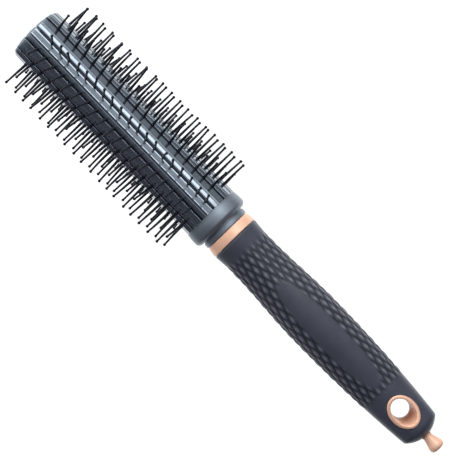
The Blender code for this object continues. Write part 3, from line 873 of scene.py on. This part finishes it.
def build_camera():
    """Looks along +Y at the brush, which lies aslant with its free end up and to the left."""
    right, up, back = camera_axes()
    data = bpy.data.cameras.new("camera")
    data.sensor_width = 36.0
    data.lens = data.sensor_width * CAMERA_DISTANCE / CAMERA_WIDTH
    data.clip_start = 0.05
    data.clip_end = 20.0
    camera = bpy.data.objects.new("camera", data)
    camera.matrix_world = Matrix.Translation(CAMERA_TARGET + back * CAMERA_DISTANCE) @ Matrix(
        (right, up, back)
    ).transposed().to_4x4()
    bpy.context.scene.collection.objects.link(camera)
    bpy.context.scene.camera = camera


def from_brush(direction):
    """A direction given as (across, along, back), in the frame: across towards the lit side,
    along towards the tail, and back to the camera."""
    across, along, back = direction
    return Vector((-across, -back, along)).normalized()


def add_softbox(name, direction, size, watts):
    """An area light aimed at the brush."""
    towards = from_brush(direction)
    data = bpy.data.lights.new(name, "AREA")
    data.shape = "RECTANGLE"
    data.size, data.size_y = size
    data.energy = watts
    light = bpy.data.objects.new(name, data)
    light.location = LIGHT_TARGET + towards * LIGHT_DISTANCE
    light.rotation_euler = towards.to_track_quat("Z", "Y").to_euler()
    bpy.context.scene.collection.objects.link(light)
    return light


def build_lights():
    """A soft key, towards the barrel's free end and the lit side, and a broad side fill that the
    glossy parts don't reflect."""
    add_softbox("key", KEY_DIRECTION, KEY_SIZE, KEY_WATTS)
    fill = add_softbox("fill", FILL_DIRECTION, FILL_SIZE, FILL_WATTS)
    fill.visible_glossy = False


def build_world():
    """White for the camera. Reflections see a white wall behind the brush, white ground under
    its free end, and in front of it a dim, bluish room with a wide glow around the key."""
    world = bpy.data.worlds.new("studio")
    bpy.context.scene.world = world
    world.use_nodes = True
    nodes, links = world.node_tree.nodes, world.node_tree.links
    nodes.clear()
    direction = nodes.new("ShaderNodeTexCoord").outputs["Generated"]

    def facing(towards, fade):
        """Rises smoothly from 0 to 1 as the direction turns towards the given one."""
        dot = nodes.new("ShaderNodeVectorMath")
        dot.operation = "DOT_PRODUCT"
        dot.inputs[1].default_value = towards
        links.new(direction, dot.inputs[0])
        node = nodes.new("ShaderNodeMapRange")
        node.interpolation_type = "SMOOTHSTEP"
        node.inputs["From Min"].default_value, node.inputs["From Max"].default_value = fade
        links.new(dot.outputs["Value"], node.inputs["Value"])
        return node.outputs["Result"]

    def blend(amount, first, second):
        """A colour or an earlier blend, mixed with a colour by amount."""
        node = nodes.new("ShaderNodeMix")
        node.data_type = "RGBA"
        node.clamp_result = False
        links.new(amount, node.inputs["Factor"])
        if isinstance(first, tuple):
            node.inputs[6].default_value = (*first, 1)
        else:
            links.new(first, node.inputs[6])
        node.inputs[7].default_value = (*second, 1)
        return node.outputs[2]

    dark = tuple(ROOM_DARK * c for c in DARK_TINT)
    glow = tuple((ROOM_DARK + ROOM_GLOW) * c for c in GLOW_TINT)
    room = blend(facing(from_brush(GLOW_DIRECTION), GLOW_RANGE), dark, glow)
    wall = (WALL_LEVEL, WALL_LEVEL, WALL_LEVEL)
    room_and_wall = blend(facing(from_brush(WALL_DIRECTION), WALL_RANGE), room, wall)
    ground = (GROUND_LEVEL, GROUND_LEVEL, GROUND_LEVEL)
    studio = blend(facing(Vector((0, 0, -1)), GROUND_RANGE), room_and_wall, ground)
    around = nodes.new("ShaderNodeBackground")
    links.new(studio, around.inputs["Color"])
    seen = nodes.new("ShaderNodeBackground")
    seen.inputs["Color"].default_value = (1, 1, 1, 1)
    seen.inputs["Strength"].default_value = SEEN_LEVEL
    path = nodes.new("ShaderNodeLightPath")
    choose = nodes.new("ShaderNodeMixShader")
    output = nodes.new("ShaderNodeOutputWorld")
    links.new(path.outputs["Is Camera Ray"], choose.inputs["Fac"])
    links.new(around.outputs[0], choose.inputs[1])
    links.new(seen.outputs[0], choose.inputs[2])
    links.new(choose.outputs[0], output.inputs["Surface"])


def build_floor():
    """A plain pale floor just under the free end."""
    mesh = bpy.data.meshes.new("floor")
    bm = bmesh.new()
    bmesh.ops.create_grid(bm, x_segments=2, y_segments=2, size=FLOOR_HALF_SIZE)
    bm.to_mesh(mesh)
    bm.free()
    floor = bpy.data.objects.new("floor", mesh)
    floor.location.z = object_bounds()[0].z - 0.05 * MM
    material = bpy.data.materials.new("pale_floor")
    material.use_nodes = True
    shader = material.node_tree.nodes["Principled BSDF"]
    shader.inputs["Base Color"].default_value = (0.9, 0.9, 0.9, 1)
    shader.inputs["Roughness"].default_value = 0.9
    shader.inputs["Specular IOR Level"].default_value = 0.0
    shader.inputs["Emission Color"].default_value = (1, 1, 1, 1)
    shader.inputs["Emission Strength"].default_value = FLOOR_GLOW
    mesh.materials.append(material)
    bpy.context.scene.collection.objects.link(floor)
    floor.visible_shadow = False  # the key light comes from lower than the free end
    floor.visible_glossy = False


# --- build -----------------------------------------------------------------------------------

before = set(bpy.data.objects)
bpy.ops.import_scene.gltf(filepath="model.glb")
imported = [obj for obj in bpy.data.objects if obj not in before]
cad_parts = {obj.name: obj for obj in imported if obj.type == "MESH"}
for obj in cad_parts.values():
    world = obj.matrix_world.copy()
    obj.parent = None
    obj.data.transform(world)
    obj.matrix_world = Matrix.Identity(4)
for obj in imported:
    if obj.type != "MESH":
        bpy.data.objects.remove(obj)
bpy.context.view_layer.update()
bpy.context.scene.view_settings.view_transform = "Standard"

build_camera()
random_pins = np.random.default_rng(SEED)
nylon = pin_nylon()
build_barrel(barrel_plastic())
build_tip_cap(barrel_plastic("cap_finish"))
for strip_row in range(ROWS):
    build_strip(strip_row, nylon, random_pins)
build_ring(rose_gold("ring_finish"))
build_grip(grip_rubber())
build_eyelet(rose_gold("eyelet_finish", funnel=True))
build_knob(rose_gold("knob_finish"))
dress_inner_nodes()
build_lights()
build_world()
build_floor()
